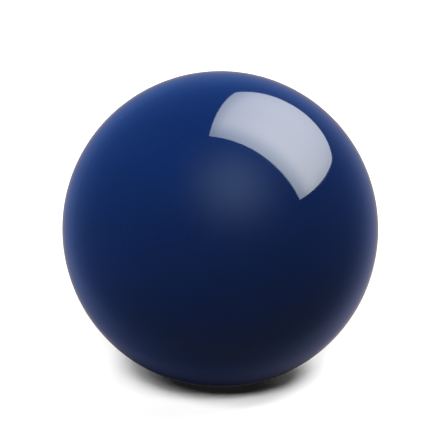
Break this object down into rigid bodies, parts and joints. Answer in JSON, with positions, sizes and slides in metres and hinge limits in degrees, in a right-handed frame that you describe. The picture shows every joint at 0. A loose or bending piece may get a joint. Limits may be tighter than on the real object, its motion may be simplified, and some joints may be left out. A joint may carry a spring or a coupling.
{
  "type": "croquet ball",
  "caption": "Smooth, highly polished solid-blue croquet ball: a pressed cork composition core inside half-shells that meet in a stepped lap joint.",
  "frame": {"origin": "centre of the ball", "axes": "+Z through the poles of both half-shells, towards the upper one, square to the parting plane; X and Y lie in the parting plane"},
  "size_m": [0.092, 0.092, 0.0922],
  "materials": {
    "shell_resin": "mirror-polished deep blue resin",
    "core_cork": "matt pressed cork composition, granular"
  },
  "bodies": {
    "root": {"core": "core_cork", "upper_shell": "shell_resin", "lower_shell": "shell_resin"}
  },
  "joints": []
}
